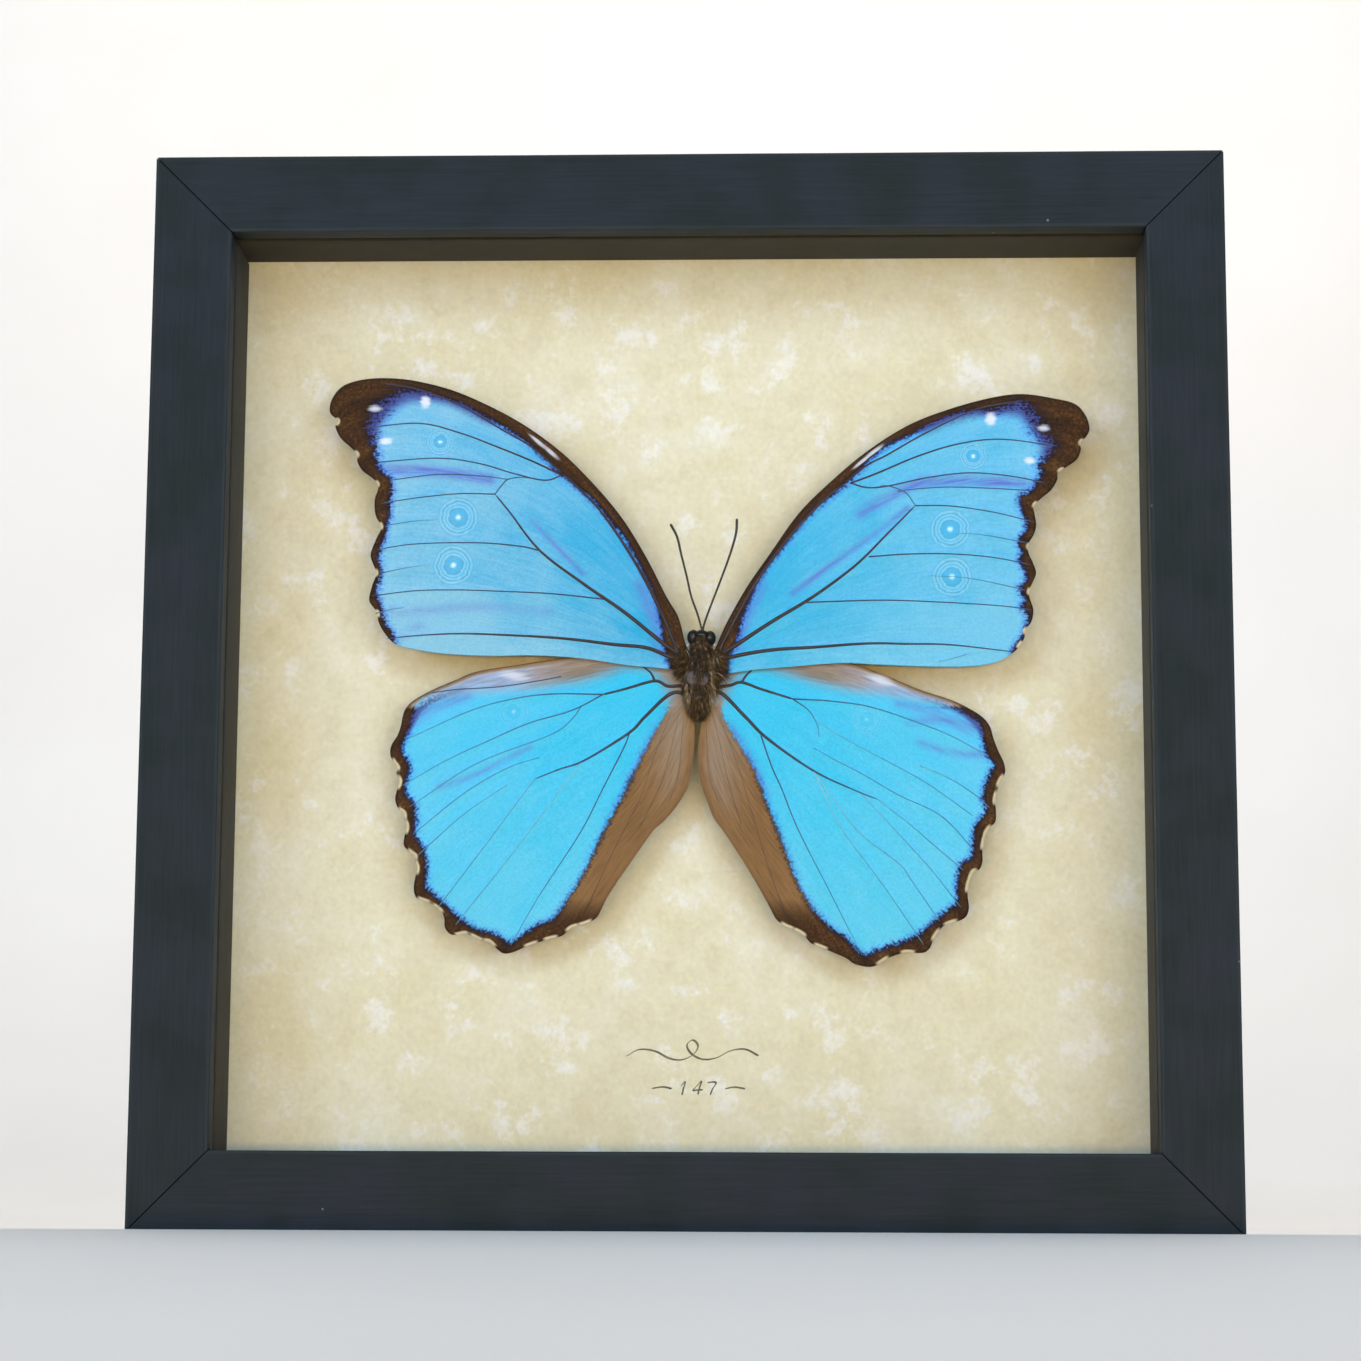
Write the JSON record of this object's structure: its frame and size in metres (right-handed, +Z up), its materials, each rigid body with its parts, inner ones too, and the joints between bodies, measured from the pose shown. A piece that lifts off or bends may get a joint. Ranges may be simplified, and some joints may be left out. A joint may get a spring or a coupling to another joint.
{
  "type": "framed butterfly specimen",
  "caption": "Square painted wooden shadow-box frame that holds a spread blue butterfly behind glass, in front of a mottled parchment card.",
  "frame": {"origin": "under the middle of the object's bounding box, on the plane that the bottom rail stands on", "axes": "+Z up, the glass and the butterfly face -Y, +X to the right as seen from the front"},
  "size_m": [0.2032, 0.032, 0.2032],
  "materials": {
    "slate_paint": "satin slate-blue paint on fine-grained wood, rubbed thin on the edges",
    "glass": "clear, thin picture glass",
    "spacer_board": "matt brown-black painted strip",
    "parchment": "matt cream card with cloudy paler mottling",
    "foam_board": "matt white foam board",
    "hardboard": "matt brown pressed hardboard",
    "steel": "plain cut steel",
    "brassed_steel": "brass-plated pressed steel",
    "insect_body": "dark brown, thickly haired chitin",
    "wing_membrane": "iridescent blue scales with brown-black margins"
  },
  "bodies": {
    "root": {"frame_top": "slate_paint", "frame_bottom": "slate_paint", "frame_left": "slate_paint", "frame_right": "slate_paint", "spacer_top": "spacer_board", "spacer_bottom": "spacer_board", "spacer_left": "spacer_board", "spacer_right": "spacer_board", "glass": "glass", "parchment_card": "parchment", "foam_board": "foam_board", "backing_board": "hardboard", "framing_point_top_1": "steel", "framing_point_top_2": "steel", "framing_point_bottom_1": "steel", "framing_point_bottom_2": "steel", "framing_point_left_1": "steel", "framing_point_left_2": "steel", "framing_point_right_1": "steel", "framing_point_right_2": "steel", "hanger": "brassed_steel", "hanger_nail_left": "brassed_steel", "hanger_nail_right": "brassed_steel", "body": "insect_body", "forewing_left": "wing_membrane", "hindwing_left": "wing_membrane", "antenna_left": "insect_body", "forewing_right": "wing_membrane", "hindwing_right": "wing_membrane", "antenna_right": "insect_body", "mounting_pin": "steel"}
  },
  "joints": []
}
